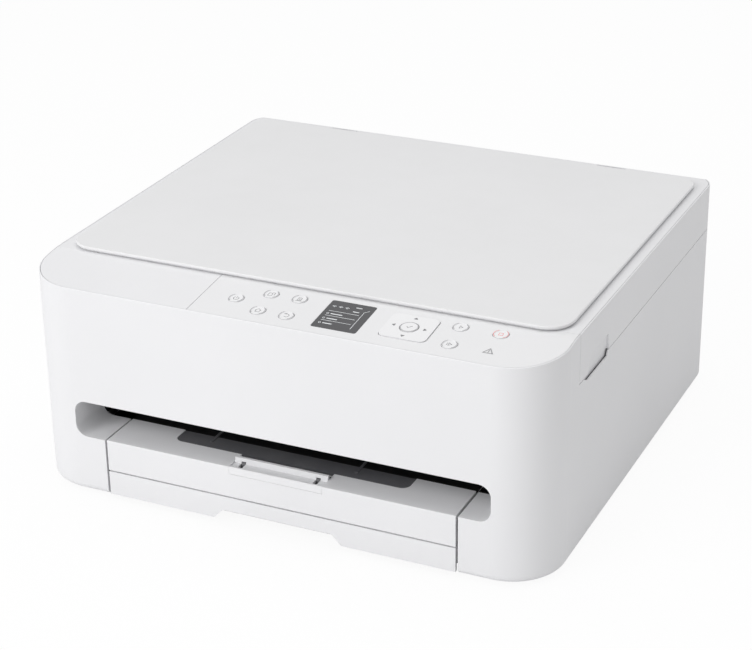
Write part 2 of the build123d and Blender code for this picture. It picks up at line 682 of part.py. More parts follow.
# Pick-up arm and roller under the deck.
pick_y, pick_z, pick_radius = arm_y - 35, 24.6, 9.0
with BuildPart() as pickup_arm:
    for x in (-13.2, 13.2):
        with BuildSketch(Plane.YZ.offset(x - 1)):
            with Locations(((pick_y + arm_y) / 2, (pick_z + 38) / 2)):
                reach = math.hypot(arm_y - pick_y, 38 - pick_z)
                SlotCenterToCenter(reach, 8, rotation=math.degrees(math.atan2(38 - pick_z, arm_y - pick_y)))
        extrude(amount=2)
    bar_x((-20, 20), arm_y, 38, 2.0)
    bar_x((-13, 13), arm_y, 38, 3.4)
    bar_x((-13, 13), pick_y, pick_z, 2.0)
save(pickup_arm, "pickup_arm")

with BuildPart() as pickup_roller:
    bar_x((-9, 9), pick_y, pick_z, pick_radius)
    bar_x((-9, 9), pick_y, pick_z, 2.0 + pin_clearance, Mode.SUBTRACT)
save(pickup_roller, "pickup_roller")

# Electrics.
with BuildPart() as main_board:
    block((main_board_x, main_board_x + 44), (engine_y + 75, engine_y + 160), (12, 12 + board_thickness))
    for x in (main_board_x + 4, main_board_x + 40):
        for y in (engine_y + 80, engine_y + 155):
            bar_z(x, y, (floor_top + 2, 12), 2.5)
    block((main_board_x + 7, main_board_x + 19), (engine_y + 95, engine_y + 107), (13.6, 16.6))
    block((main_board_x + 24, main_board_x + 36), (engine_y + 92, engine_y + 112), (13.6, 18))
    for y in (engine_y + 120, engine_y + 127, engine_y + 134):
        bar_z(main_board_x + 12, y, (13.6, 22), 2.6)
save(main_board, "main_board")

with BuildPart() as power_supply:
    block((1.1 - inside_x, 19 - inside_x), (engine_y + 30, engine_y + 148), (floor_top + 2, 60))
    fillet(power_supply.edges().filter_by(Axis.Z), 2)
save(power_supply, "power_supply")

# Mains inlet on the left and data socket on the right of the rear wall.
with BuildPart() as sockets:
    block((inlet_x - 11.8, inlet_x + 11.8), (back_y - 18, back_y), (66.2, 83.8))
    block((inlet_x - 9, inlet_x + 9), (back_y - 14, back_y + 1), (69, 81), Mode.SUBTRACT)
    for x in (inlet_x - 4, inlet_x + 4):
        bar_y(x, (back_y - 15, back_y - 4), 75, 1.2)
    block((inlet_x - 11.8, inlet_x - 6.5), (back_y - 28, back_y - 18), (60, 83.8))
    block((data_x - 7.5, data_x + 7.5), (back_y - 18, back_y), (13.6, 25))
    block((data_x - 5.5, data_x + 5.5), (back_y - 12, back_y + 1), (15.5, 23), Mode.SUBTRACT)
    block((data_x - 3, data_x + 3), (back_y - 12, back_y - 2), (18, 20.5))
save(sockets, "sockets")

# Paper cassette with its guides.
cassette_top = split_height - split_gap / 2
with BuildPart() as cassette:
    outer = bay_half_width - bay_gap
    block((-outer, outer), (front_y, front_y + wall), (front_low, cassette_top))
    block((-outer, outer), (front_y + wall, front_y + cassette_length), (cassette_floor, cassette_floor + floor_sheet))
    for side in (-1, 1):
        low_x, high_x = sorted((side * outer, side * (outer - tray_wall)))
        block((low_x, high_x), (front_y + wall, front_y + cassette_length), (cassette_floor, cassette_top))
    block((-outer, outer), (front_y + 20, front_y + 22), (cassette_floor, cassette_top))
    with BuildSketch(Plane.XZ.offset(-front_y)):
        with BuildLine():
            Polyline((-finger_half_width - finger_flare, front_low), (-finger_half_width, front_low + finger_height),
                     (finger_half_width, front_low + finger_height), (finger_half_width + finger_flare, front_low),
                     close=True)
        make_face()
    extrude(amount=-wall, mode=Mode.SUBTRACT)
    bar_z(0, guide_y, (cassette_floor, cassette_floor + floor_sheet + 4), 2.0)
    fillet(cassette.edges().filter_by(Axis.X).filter_by_position(Axis.Y, front_y - 0.1, front_y + 0.1)
           .group_by(Axis.Z)[-1], edge_round)
save(cassette, "cassette")

guide_floor = cassette_floor + floor_sheet + 0.1
rack_low, rack_high = guide_floor, guide_floor + rack_thickness
pinion_radius = rack_module * pinion_teeth / 2
with BuildPart() as guide_pinion:
    with BuildSketch(Plane.XY.offset(rack_low)):
        with Locations((0, guide_y)):
            add(gear_plan(pinion_teeth, rack_module, 0))
    extrude(amount=rack_thickness)
    bar_z(0, guide_y, (rack_low, rack_high), 2.0 + pin_clearance, Mode.SUBTRACT)
save(guide_pinion, "guide_pinion")

for name, side in (("guide_left", -1), ("guide_right", 1)):
    with BuildPart() as guide:
        line_y = guide_y - side * pinion_radius
        back = line_y - side * 1.2 * rack_module
        low_y, high_y = sorted((back, back - side * 4))
        low_x, high_x = sorted((side * guide_reach, -side * 12))
        block((low_x, high_x), (low_y, high_y), (rack_low, rack_high))
        with BuildSketch(Plane.XY.offset(rack_low)):
            for n in range(-11 if side > 0 else -2, 3 if side > 0 else 12):
                middle = (n - 0.5) * math.pi * rack_module
                if abs(middle - side * 45) < 56 and -12 < middle * side < 60:
                    with BuildLine():
                        Polyline((middle - 0.8 * rack_module, back - side * 0.2),
                                 (middle - 0.3 * rack_module, line_y + side * 0.85 * rack_module),
                                 (middle + 0.3 * rack_module, line_y + side * 0.85 * rack_module),
                                 (middle + 0.8 * rack_module, back - side * 0.2), close=True)
                    make_face()
        extrude(amount=rack_thickness)
        low_x, high_x = sorted((side * guide_reach, side * (guide_reach + 2)))
        block((low_x, high_x), (guide_y - 70, guide_y + 70), (guide_floor, guide_top))
        low_x, high_x = sorted((side * (guide_reach - 7), side * guide_reach))
        block((low_x, high_x), (low_y - 6, high_y + 6), (guide_floor, guide_floor + 1.2))
    save(guide, name)

with BuildPart() as rear_guide:
    block((-36, 36), (cassette_end_y - 21, cassette_end_y - 9), (guide_floor, guide_floor + 1.2))
    for x in (-28, 28):
        block((x - 8, x + 8), (cassette_end_y - 11, cassette_end_y - 9), (guide_floor, guide_top))
save(rear_guide, "rear_guide")

# Delivery tray, its dark inlay, the pull-out extension and the flip-up stop.
with BuildPart() as output_tray:
    outer = bay_half_width - bay_gap
    block((-outer, outer), (front_y, tray_back_y), (tray_low, tray_top))
    block((-outer, outer), (front_y, front_y + wall), (split_height + split_gap / 2, tray_top))
    with BuildSketch(Plane.XY.offset(tray_top)):
        with Locations((0, front_y + insert_front + (tray_length - insert_front - 4) / 2)):
            RectangleRounded(2 * insert_half_width, tray_length - insert_front - 4, insert_radius)
    extrude(amount=-insert_sheet, mode=Mode.SUBTRACT)
    # the rear of the tray, inside the machine, is faced with the dark inlay from side to side
    block((-outer - 1, outer + 1), (slot_back_y, tray_back_y - 4), (tray_top - insert_sheet, tray_top + 1), Mode.SUBTRACT)
    block((-stop_half_width - 0.12, stop_half_width + 0.12), (front_y - 1, front_y + insert_front + 0.2),
          (40.2, tray_top + 1), Mode.SUBTRACT)
    for side in (-1, 1):
        low_x, high_x = sorted((side * (stop_half_width + 0.4), side * (stop_half_width + 2.4)))
        block((low_x, high_x), (front_y + wall, tray_back_y), (38.4, tray_low))
        low_x, high_x = sorted((side * (stop_half_width - 3), side * (stop_half_width + 2.4)))
        block((low_x, high_x), (front_y + wall, tray_back_y), (38.4, 40.0))
    fillet(output_tray.edges().filter_by(Axis.X).filter_by_position(Axis.Y, front_y - 0.1, front_y + 0.1)
           .group_by(Axis.Z)[-1], edge_round)
save(output_tray, "output_tray")

with BuildPart() as tray_insert:
    with BuildSketch(Plane.XY.offset(tray_top - insert_sheet)):
        with Locations((0, front_y + insert_front + (tray_length - insert_front - 4) / 2)):
            RectangleRounded(2 * insert_half_width - 0.4, tray_length - insert_front - 4.4, insert_radius)
    extrude(amount=1.4)
    block((-outer, outer), (slot_back_y + 0.2, tray_back_y - 4.2), (tray_top - insert_sheet, tray_top - 0.5))
    for x in (-62, 46):
        block((x - 1, x + 1), (front_y + insert_front + 8, tray_back_y - 12), (tray_top - 0.7, tray_top))
save(tray_insert, "tray_insert")

stop_y, stop_z = front_y + 9.4, 44.0
arm_x = (stop_half_width - stop_block - stop_pocket + 0.3, stop_half_width - stop_block - 0.3)
with BuildPart() as tray_extension:
    block((-stop_half_width + 0.8, stop_half_width - 0.8), (front_y + 2.4, front_y + extension_length), (40.2, 42.0))
    for side in (-1, 1):
        low_x, high_x = sorted((side * arm_x[0], side * arm_x[1]))
        block((low_x, high_x), (stop_y - 1.9, stop_y + 0.9), (40.2, stop_z))
        bar_x((low_x, high_x), stop_y, stop_z, 1.9)
        bar_x((low_x, high_x), stop_y, stop_z, 1.0 + pin_clearance, Mode.SUBTRACT)
save(tray_extension, "tray_extension")

# The stop is part of the tray's front until it is flipped up: a lip, a sunken plate and a ridge over its pivot.
stop_outline = ((-9.4, -3.6), (-9.4, 0.9), (-8.8, 1.5), (-7.6, 1.5), (-7.2, 0.8), (-0.8, 0.8), (0.2, 4.3), (2.2, 4.3),
                (1.8, 0.6), (1.2, -1.2), (-7.4, -1.0), (-7.4, -3.6))
with BuildPart() as paper_stop:
    with BuildSketch(Plane.YZ.offset(-stop_half_width)):
        Polygon(*[(stop_y + y, stop_z + z) for y, z in stop_outline], align=None)
    extrude(amount=2 * stop_half_width)
    for side in (-1, 1):
        low_x, high_x = sorted((side * (stop_half_width - stop_block - stop_pocket), side * (stop_half_width - stop_block)))
        block((low_x, high_x), (stop_y - 7.3, stop_y - 0.4), (stop_z - 4, stop_z + 1.6), Mode.SUBTRACT)
        bar_x((low_x, high_x), stop_y, stop_z, 2.2, Mode.SUBTRACT)
    bar_x((-stop_half_width + 0.8, stop_half_width - 0.8), stop_y, stop_z, 1.0)
save(paper_stop, "paper_stop")

# Rear cover with the outer paper guide.
with BuildPart() as rear_cover:
    block((-door_half_width, door_half_width), (back_y - 2, back_y + rear_bulge), (door_low, door_high))
    fillet(rear_cover.edges().filter_by(Axis.X).filter_by_position(Axis.Y, back_y + 5, back_y + 20), door_round)
    block((-door_half_width + 2.2, door_half_width - 2.2), (back_y - 3, back_y + rear_bulge - 2.2),
          (door_low + 2.2, door_high - 2.2), Mode.SUBTRACT)
    for x in (-90, -54, -18, 18, 54, 90):
        block((x - 1, x + 1), (back_y - 8, back_y + rear_bulge - 2), (22, 68))
        bar_x((x - 1.1, x + 1.1), transport_y, transport_z, transport_radius + paper_gap, Mode.SUBTRACT)
    for side in (-1, 1):
        low_x, high_x = sorted((side * (door_half_width - 2), side * (door_half_width + 4.8)))
        bar_x((low_x, high_x), door_axis_y, door_axis_z, door_pin_radius)
save(rear_cover, "rear_cover")

# Scanner unit: a tub with the side bands, the top frame, the glass and what lies under it.
with BuildPart() as scanner_tub:
    with BuildSketch(Plane.XY.offset(unit_low)):
        add(unit_plan(0))
    extrude(amount=top_height - unit_low)
    with BuildSketch(Plane.XY.offset(unit_low + unit_floor)):
        add(unit_plan(wall))
    extrude(amount=top_height, mode=Mode.SUBTRACT)
    # hidden ledge along the rear, raised so the rear edge can swing down past the casing
    block((-half_width, half_width), (hinge_y - 4.2, back_y + 1), (unit_low - 1, unit_low + hinge_relief), Mode.SUBTRACT)
    block((8 - half_width, half_width - 8), (hinge_y - 6.2, hinge_y - 4.2), (unit_low, unit_low + hinge_relief + 2))
    block((14 - half_width, half_width - 14), (hinge_y - 6.2, back_y - 1),
          (unit_low + hinge_relief, unit_low + hinge_relief + 2))
    for side in (-1, 1):
        low_x = side * hinge_x - knuckle_length / 2
        block((low_x, low_x + knuckle_length), (hinge_y - 1.7, hinge_y + 1.7), (hinge_height, unit_low + 4))
        bar_x((low_x, low_x + knuckle_length), hinge_y, hinge_height, knuckle_radius)
        bar_x((low_x - 1, low_x + knuckle_length + 1), hinge_y, hinge_height, hinge_pin_radius + pin_clearance,
              Mode.SUBTRACT)
        # scooped finger pocket in the side band
        low_x, high_x = sorted((side * (half_width - notch_depth - 2), side * (half_width - 1)))
        block((low_x, high_x), (front_y + notch_rear - notch_length - 2.5, front_y + notch_rear + 2.5),
              (unit_low, unit_low + notch_height + 2))
        low_x, high_x = sorted((side * (half_width - notch_depth - 2), side * (half_width - notch_depth)))
        block((low_x, high_x), (front_y + notch_rear - notch_length - 2.5, front_y + notch_rear + 2.5),
              (unit_low - notch_dip - 1.5, unit_low + unit_floor))
        with BuildPart(mode=Mode.PRIVATE) as scoop:
            with BuildSketch(Plane.YZ):
                with BuildLine():
                    Polyline((front_y + notch_rear, unit_low - 1), (front_y + notch_rear - 2, unit_low + notch_height),
                             (front_y + notch_rear - notch_length + 6, unit_low + notch_height),
                             (front_y + notch_rear - notch_length, unit_low - 1), close=True)
                make_face()
            extrude(amount=half_width + 2, both=True)
            with BuildSketch(Plane.XZ):
                Polygon((side * (half_width - notch_depth), unit_low - 2), (side * (half_width + 1), unit_low - 2),
                        (side * (half_width + 1), unit_low + notch_height + 1),
                        (side * (half_width - notch_lip), unit_low + notch_height + 1), align=None)
            extrude(amount=body_depth, both=True, mode=Mode.INTERSECT)
        add(scoop.part, mode=Mode.SUBTRACT)
        # wells for the cover's hinge posts
        low_x = side * cover_hinge_x - well_width / 2 - 1.5
        block((low_x, low_x + well_width + 3), (cover_axis_y - 6.1, back_y - 1), (well_floor - 1.5, top_height))
    add(frame_seat(frame_thickness), mode=Mode.SUBTRACT)
    for side in (-1, 1):
        low_x = side * cover_hinge_x - well_width / 2
        block((low_x, low_x + well_width), (cover_axis_y - 4.6, cover_axis_y + 4.6), (well_floor, top_height), Mode.SUBTRACT)
    # rail blocks, glass seat ribs and panel bosses
    for x in (-rail_x, rail_x):
        block((x - 4, x + 4), (rail_y - rail_block, rail_y + rail_block), (unit_low + unit_floor, rail_height + 6))
        bar_x((x - 4, x + 4), rail_y, rail_height, rail_radius, Mode.SUBTRACT)
    for y in (glass_y[0] - 3.5, glass_y[1] + 3.5):
        block((5 - rail_x, rail_x - 5), (y - 1, y + 1), (unit_low + unit_floor, top_height - frame_thickness))
    cut_rear_round()
save(scanner_tub, "scanner_tub")

opening_x = glass_width / 2 - glass_ledge
opening_y = (glass_y[0] + glass_ledge, glass_y[1] - glass_ledge)
panel_end_y = panel_back_y + 5
with BuildPart() as top_frame:
    with BuildSketch(Plane.XY.offset(frame_low)):
        add(body_plan(rim + rim_gap))
    extrude(amount=frame_high - frame_low)
    with BuildSketch(Plane.YZ):
        add(top_slab(frame_thickness))
    extrude(amount=half_width, both=True, mode=Mode.INTERSECT)
    cut_rear_round()
    block((-opening_x, opening_x), opening_y, (frame_low, frame_high), Mode.SUBTRACT)
    block((panel_left - 0.2, half_width), (front_y - 1, panel_end_y + 0.2), (frame_low, frame_high), Mode.SUBTRACT)
    for side in (-1, 1):
        low_x = side * cover_hinge_x - well_width / 2
        block((low_x, low_x + well_width), (cover_axis_y - 4.6, cover_axis_y + 4.6),
              (frame_low, frame_high), Mode.SUBTRACT)
save(top_frame, "top_frame")

with BuildPart() as platen_glass:
    block((-glass_width / 2, glass_width / 2), glass_y,
          (top_height - frame_thickness - glass_thickness, top_height - frame_thickness))
save(platen_glass, "platen_glass")

with BuildPart() as scan_rail:
    bar_x((-rail_x - 4, rail_x + 4), rail_y, rail_height, rail_radius)
save(scan_rail, "scan_rail")

bar_x0 = 13 - glass_width / 2
with BuildPart() as scan_bar:
    bar_top = top_height - frame_thickness - glass_thickness - 0.5
    block((bar_x0 - bar_width / 2, bar_x0 + bar_width / 2), (glass_y[0] + bar_end_gap, glass_y[1] - bar_end_gap),
          (bar_top - bar_height, bar_top))
    block((bar_x0 - bar_width / 2, bar_x0 + bar_width / 2), (rail_y - rail_block, rail_y + rail_block),
          (rail_height - 4.5, bar_top))
    bar_x((bar_x0 - bar_width / 2, bar_x0 + bar_width / 2), rail_y, rail_height, rail_radius + running, Mode.SUBTRACT)
    block((bar_x0 - 3, bar_x0 + 3), (glass_y[0] + 10, glass_y[1] - 10), (bar_top - 1.2, bar_top), Mode.SUBTRACT)
save(scan_bar, "scan_bar")

# Control panel: a plate in the sloping plane with its keys beneath.


def panel_place(u, v, w=0.0):
    """A location on the control panel: u to the right, v up the slope, w out of it."""
    return panel_plane * Location((u, v, w))


def key_shape(u, v, radius, top, flange_top, bottom):
    """A round key with a flange that stops it under the panel and a stem that meets its switch."""
    for disc, low, high in ((radius, flange_top, top), (radius + 1.1, flange_top - key_flange, flange_top),
                            (1.6, bottom, flange_top)):
        with BuildSketch(Plane(panel_place(u, v, low))) as outline:
            Circle(disc)
        extrude(outline.sketch, amount=high - low)


board_top = -8.0
stem_bottom = board_top + 1.2 + key_travel + 0.1
panel_low = -frame_thickness * math.cos(math.radians(slope_angle))
with BuildPart() as control_panel:
    with BuildSketch(Plane.XY.offset(frame_low)):
        add(body_plan(rim + rim_gap))
    extrude(amount=frame_high - frame_low)
    with BuildSketch(Plane.YZ):
        add(top_slab(frame_thickness))
    extrude(amount=half_width, both=True, mode=Mode.INTERSECT)
    block((-half_width, panel_left + 0.2), (front_y, back_y), (frame_low, frame_high), Mode.SUBTRACT)
    block((-half_width, half_width), (panel_end_y, back_y), (frame_low, frame_high), Mode.SUBTRACT)
    for u, v in key_places.values():
        with BuildSketch(Plane(panel_place(u, v, 1))):
            Circle(key_radius + key_gap)
        extrude(amount=-8, mode=Mode.SUBTRACT)
    with BuildSketch(Plane(panel_place(*nav_middle, 1))):
        RectangleRounded(nav_width + 0.8, nav_height + 0.8, nav_radius + 0.4)
    extrude(amount=-8, mode=Mode.SUBTRACT)
    with BuildSketch(Plane(panel_place(*display_middle, 1))):
        RectangleRounded(display_width + 0.3, display_height + 0.3, 1.6)
    extrude(amount=-1 - display_thickness, mode=Mode.SUBTRACT)
    with BuildSketch(Plane(panel_place(*display_middle, 1))):
        Rectangle(26, 26)
    extrude(amount=-8, mode=Mode.SUBTRACT)
    with BuildSketch(Plane(panel_place(*alarm_place, 1))):
        RegularPolygon(4.6, 3, rotation=90)
    extrude(amount=-8, mode=Mode.SUBTRACT)
    for u, v in ((-48, 11), (-48, 43), (152, 26), (60, 43), (63.4, 11)):
        with BuildSketch(Plane(panel_place(u, v, board_top))):
            Circle(2.6)
        extrude(amount=panel_low - board_top + 0.05)
    for side in (-1, 1):
        with BuildSketch(Plane(panel_place(nav_middle[0] + side * 18.2, nav_middle[1], -6.4))):
            Rectangle(2.4, 6)
        extrude(amount=6.4 + panel_low + 0.05)
    nav_axis_w = -4.4
    with Locations(panel_place(*nav_middle, nav_axis_w) * Location((0, 0, 0), (0, 90, 0))):
        Cylinder(nav_pin_radius + pin_clearance, 42, mode=Mode.SUBTRACT)
save(control_panel, "control_panel")

with BuildPart() as control_board:
    with BuildSketch(Plane(panel_place(0, 0, board_top))):
        with Locations(((-54 + 156) / 2, 27)):
            Rectangle(210, 38)
    extrude(amount=-board_thickness)
    for u, v in [*key_places.values(), nav_middle]:
        with BuildSketch(Plane(panel_place(u, v, board_top))):
            Rectangle(6, 6)
        extrude(amount=1.2)
    with BuildSketch(Plane(panel_place(*display_middle, board_top))):
        Rectangle(30, 30)
    extrude(amount=-board_top + panel_low - 0.1)
save(control_board, "control_board")

# The display's window and the small triangular warning light.
with BuildPart() as panel_windows:
    with BuildSketch(Plane(panel_place(*display_middle, 0))):
        RectangleRounded(display_width, display_height, 1.5)
    extrude(amount=-display_thickness)
    with BuildSketch(Plane(panel_place(*alarm_place, -4))):
        RegularPolygon(4.5, 3, rotation=90)
    extrude(amount=4.1)
    with BuildSketch(Plane(panel_place(*alarm_place, board_top))):
        Circle(2)
    extrude(amount=4.1)
save(panel_windows, "panel_windows")

for name, (u, v) in key_places.items():
    with BuildPart() as key:
        key_shape(u, v, key_radius, 0.4, panel_low - 0.1, stem_bottom)
        with BuildSketch(Plane(panel_place(u, v, 0.4))):
            Circle(key_radius - 0.9)
        extrude(amount=-0.25, mode=Mode.SUBTRACT)
    save(key, name)

with BuildPart() as nav_pad:
    with BuildSketch(Plane(panel_place(*nav_middle, -1.8))):
        RectangleRounded(nav_width, nav_height, nav_radius)
    extrude(amount=2.4)
    with BuildSketch(Plane(panel_place(*nav_middle, -2))):
        Circle(6.4)
    extrude(amount=4, mode=Mode.SUBTRACT)
    for side in (-1, 1):
        with BuildSketch(Plane(panel_place(nav_middle[0], nav_middle[1] + side * 11.4, -6.2))):
            Rectangle(6, 1.8)
        extrude(amount=4.6)
    with Locations(panel_place(*nav_middle, nav_axis_w) * Location((0, 0, 0), (90, 0, 0))):
        Cylinder(nav_pin_radius + pin_clearance, 26, mode=Mode.SUBTRACT)
save(nav_pad, "nav_pad")

with BuildPart() as nav_carrier:
    with BuildSketch(Plane(panel_place(*nav_middle, nav_axis_w - 1.2))):
        Rectangle(24, 20)
        RectangleRounded(17, 15.6, 1, mode=Mode.SUBTRACT)
    extrude(amount=2.4)
    for side in (-1, 1):
        with Locations(panel_place(nav_middle[0] + side * 15.2, nav_middle[1], nav_axis_w) * Location((0, 0, 0), (0, 90, 0))):
            Cylinder(nav_pin_radius, 8.2)
        with Locations(panel_place(nav_middle[0], nav_middle[1] + side * 11.1, nav_axis_w) * Location((0, 0, 0), (90, 0, 0))):
            Cylinder(nav_pin_radius, 3.0)
save(nav_carrier, "nav_carrier")

with BuildPart() as key_ok:
    key_shape(*nav_middle, 5.8, 0.9, -2.4, stem_bottom)
save(key_ok, "key_ok")

# Document cover on two rising hinge posts.
with BuildPart() as cover_posts:
    for side in (-1, 1):
        x = side * cover_hinge_x
        block((x - 6.5, x + 6.5), (cover_axis_y - stem_depth / 2, cover_axis_y + stem_depth / 2),
              (cover_axis_z - stem_length, cover_axis_z - 3.3))
        bar_x((x - 6.5, x + 6.5), cover_axis_y, cover_axis_z, cover_barrel_radius)
        block((x - 6.5, x + 6.5), (cover_axis_y - 2, cover_axis_y + 2), (cover_axis_z - 4, cover_axis_z - 1))
        bar_x((x - 10.2, x + 10.2), cover_axis_y, cover_axis_z, cover_pin_radius)
save(cover_posts, "cover_posts")

with BuildPart() as cover_shell:
    with BuildSketch(Plane.XY.offset(cover_low)):
        add(rounded_plan(body_width - 2 * cover_side_inset, cover_y, cover_radius, cover_radius - 4))
    extrude(amount=cover_thickness)
    chamfer(cover_shell.edges().group_by(Axis.Z)[0], cover_undercut)
    fillet(cover_shell.edges().group_by(Axis.Z)[-1], 1.0)
    block((-opening_x - 8, opening_x + 8), (opening_y[0] - 8, opening_y[1] + 8),
          (cover_low - 1, cover_high - cover_skin), Mode.SUBTRACT)
    for side in (-1, 1):
        for ear in (-1, 1):
            middle = side * cover_hinge_x + ear * (6.5 + ear_gap + ear_thickness / 2)
            with BuildSketch(Plane.YZ.offset(middle - ear_thickness / 2)):
                with BuildLine():
                    Polyline((cover_axis_y - 2.7, cover_axis_z + 1.2), (cover_axis_y - 4.1, cover_low + 0.3),
                             (cover_axis_y - 12, cover_low + 0.3), (cover_axis_y - 12, cover_low + 2.8),
                             (cover_axis_y - 5.1, cover_low + 2.8), (cover_axis_y + 2.7, cover_axis_z + 1.2),
                             close=True)
                make_face()
                with Locations((cover_axis_y, cover_axis_z)):
                    Circle(3.0)
            extrude(amount=ear_thickness)
        bar_x((side * cover_hinge_x - 11, side * cover_hinge_x + 11), cover_axis_y, cover_axis_z,
              cover_pin_radius + pin_clearance, Mode.SUBTRACT)
save(cover_shell, "cover_shell")

with BuildPart() as pressure_pad:
    block((-opening_x + pad_gap, opening_x - pad_gap), (opening_y[0] + pad_gap, opening_y[1] - pad_gap),
          (top_height - frame_thickness + 0.2, cover_high - cover_skin))
save(pressure_pad, "pressure_pad")
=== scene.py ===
# %% [markdown]
# A white table-top inkjet printer with a flatbed scanner.
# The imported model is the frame: its casing, trays, keys and engine are loaded in place.
# What follows sets the camera, gives the pieces their surfaces, adds the fine marks on the control
# strip, then sets the light and the floor.

import math

import bmesh
import bpy
from mathutils import Matrix, Vector


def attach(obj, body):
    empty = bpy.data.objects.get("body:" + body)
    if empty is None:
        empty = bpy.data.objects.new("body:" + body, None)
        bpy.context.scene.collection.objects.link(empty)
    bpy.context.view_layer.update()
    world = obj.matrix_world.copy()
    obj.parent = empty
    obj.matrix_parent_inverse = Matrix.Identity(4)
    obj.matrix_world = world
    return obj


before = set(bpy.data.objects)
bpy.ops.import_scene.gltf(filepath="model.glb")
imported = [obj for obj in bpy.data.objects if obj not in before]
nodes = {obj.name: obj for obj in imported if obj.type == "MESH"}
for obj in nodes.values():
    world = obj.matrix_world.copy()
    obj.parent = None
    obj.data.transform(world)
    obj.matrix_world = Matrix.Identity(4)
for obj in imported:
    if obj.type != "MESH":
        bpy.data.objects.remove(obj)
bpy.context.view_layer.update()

# %% [markdown]
# The camera comes first, because every later choice is judged through it.
# Its place was worked out from the straight edges of the casing: it stands right of the machine,
# looks down at about 25 degrees and has the narrow view of a long lens.
# A rotation matrix built from yaw, pitch and roll is exact, where a Track To constraint would lose the roll.

# %% Camera
picture_width = 752  # pixels
focal_pixels = 2023.5
yaw, pitch, roll = (math.radians(a) for a in (25.089, 24.732, -0.85))
camera_place = Vector((0.5506, -1.1961, 0.6850))
sensor_width = 36  # millimetres

forward = Vector((-math.sin(yaw) * math.cos(pitch), math.cos(yaw) * math.cos(pitch), -math.sin(pitch)))
right = forward.cross(Vector((0, 0, 1))).normalized()
up = right.cross(forward)
right, up = (math.cos(roll) * right + math.sin(roll) * up, math.cos(roll) * up - math.sin(roll) * right)

camera_data = bpy.data.cameras.new("camera")
camera_data.sensor_fit = "HORIZONTAL"
camera_data.sensor_width = sensor_width
camera_data.lens = focal_pixels * sensor_width / picture_width
camera = bpy.data.objects.new("camera", camera_data)
bpy.context.scene.collection.objects.link(camera)
camera.matrix_world = Matrix.Translation(camera_place) @ Matrix((right, up, -forward)).transposed().to_4x4()
bpy.context.scene.camera = camera
print("lens", round(camera_data.lens, 1))

# %% [markdown]
# Moulded plastic is never quite smooth: the steel mould was etched, so the part carries a fine grain.
# Two surfaces share this effect in different strength, so it is one node group with a scale and a depth.
# It reads Object coordinates, which stay put when the piece moves.

# %% Grain group
def shader_group(name, inputs, outputs):
    """A shader node group with float inputs (name, default) and outputs (name, kind)."""
    group = bpy.data.node_groups.new(name, "ShaderNodeTree")
    for label, value in inputs:
        socket = group.interface.new_socket(label, in_out="INPUT", socket_type="NodeSocketFloat")
        socket.default_value = value
    for label, kind in outputs:
        group.interface.new_socket(label, in_out="OUTPUT", socket_type="NodeSocket" + kind)
    enter, leave = group.nodes.new("NodeGroupInput"), group.nodes.new("NodeGroupOutput")
    return group, enter, leave


def noise(tree, coordinates, scale, detail=2.0, roughness=0.5):
    """A noise texture on the given coordinates; scale may be a number or a socket."""
    node = tree.nodes.new("ShaderNodeTexNoise")
    node.inputs["Detail"].default_value = detail
    node.inputs["Roughness"].default_value = roughness
    tree.links.new(coordinates, node.inputs["Vector"])
    if isinstance(scale, (int, float)):
        node.inputs["Scale"].default_value = scale
    else:
        tree.links.new(scale, node.inputs["Scale"])
    return node


def remap(tree, value, low, high, to_low, to_high):
    """Maps a value from one range to another, clamped."""
    node = tree.nodes.new("ShaderNodeMapRange")
    for label, number in (("From Min", low), ("From Max", high), ("To Min", to_low), ("To Max", to_high)):
        node.inputs[label].default_value = number
    tree.links.new(value, node.inputs["Value"])
    return node.outputs["Result"]


grain, enter, leave = shader_group("moulded_grain", [("Scale", 1800.0), ("Cloud", 9.0)],
                                   [("Height", "Float"), ("Tone", "Float")])
place = grain.nodes.new("ShaderNodeTexCoord").outputs["Object"]
fine = noise(grain, place, enter.outputs["Scale"], 3.0, 0.6)
cloud = noise(grain, place, enter.outputs["Cloud"], 2.0, 0.5)
grain.links.new(fine.outputs["Fac"], leave.inputs["Height"])
grain.links.new(remap(grain, cloud.outputs["Fac"], 0.3, 0.7, 0.0, 1.0), leave.inputs["Tone"])
print("group", grain.name)

# %% [markdown]
# A few hours of handling leave faint dust in the places that face up, in streaky specks.
# The effect is a mask, and each material decides how much of it shows.

# %% Handling group
handling, enter, leave = shader_group("handling", [("Scale", 60.0)], [("Mask", "Float")])
place = handling.nodes.new("ShaderNodeTexCoord").outputs["Object"]
streaks = noise(handling, place, enter.outputs["Scale"], 5.0, 0.65)
facing = handling.nodes.new("ShaderNodeSeparateXYZ")
normal = handling.nodes.new("ShaderNodeNewGeometry").outputs["Normal"]
handling.links.new(normal, facing.inputs["Vector"])
upward = remap(handling, facing.outputs["Z"], 0.6, 1.0, 0.25, 1.0)
speck = remap(handling, streaks.outputs["Fac"], 0.42, 0.75, 0.0, 1.0)
both = handling.nodes.new("ShaderNodeMath")
both.operation = "MULTIPLY"
handling.links.new(upward, both.inputs[0])
handling.links.new(speck, both.inputs[1])
handling.links.new(both.outputs[0], leave.inputs["Mask"])
print("group", handling.name)

# %% [markdown]
# One helper builds a plastic: two close tones mixed by the grain's slow cloud, dust on top,
# a roughness that varies a little, and the fine grain as bump.
# The numbers that are the same everywhere are set straight on the shader's sockets.

# %% Plastic helper
grain_height = 0.00015  # metres
dust_tone = (0.80, 0.80, 0.79)


def linear(tone):
    """Turns a display value between 0 and 1 into the scene's linear value."""
    return tone / 12.92 if tone <= 0.04045 else ((tone + 0.055) / 1.055) ** 2.4


def colour(*tones):
    return (*[linear(t) for t in tones], 1.0)


def use_group(tree, group, **values):
    node = tree.nodes.new("ShaderNodeGroup")
    node.node_tree = group
    for label, value in values.items():
        node.inputs[label].default_value = value
    return node


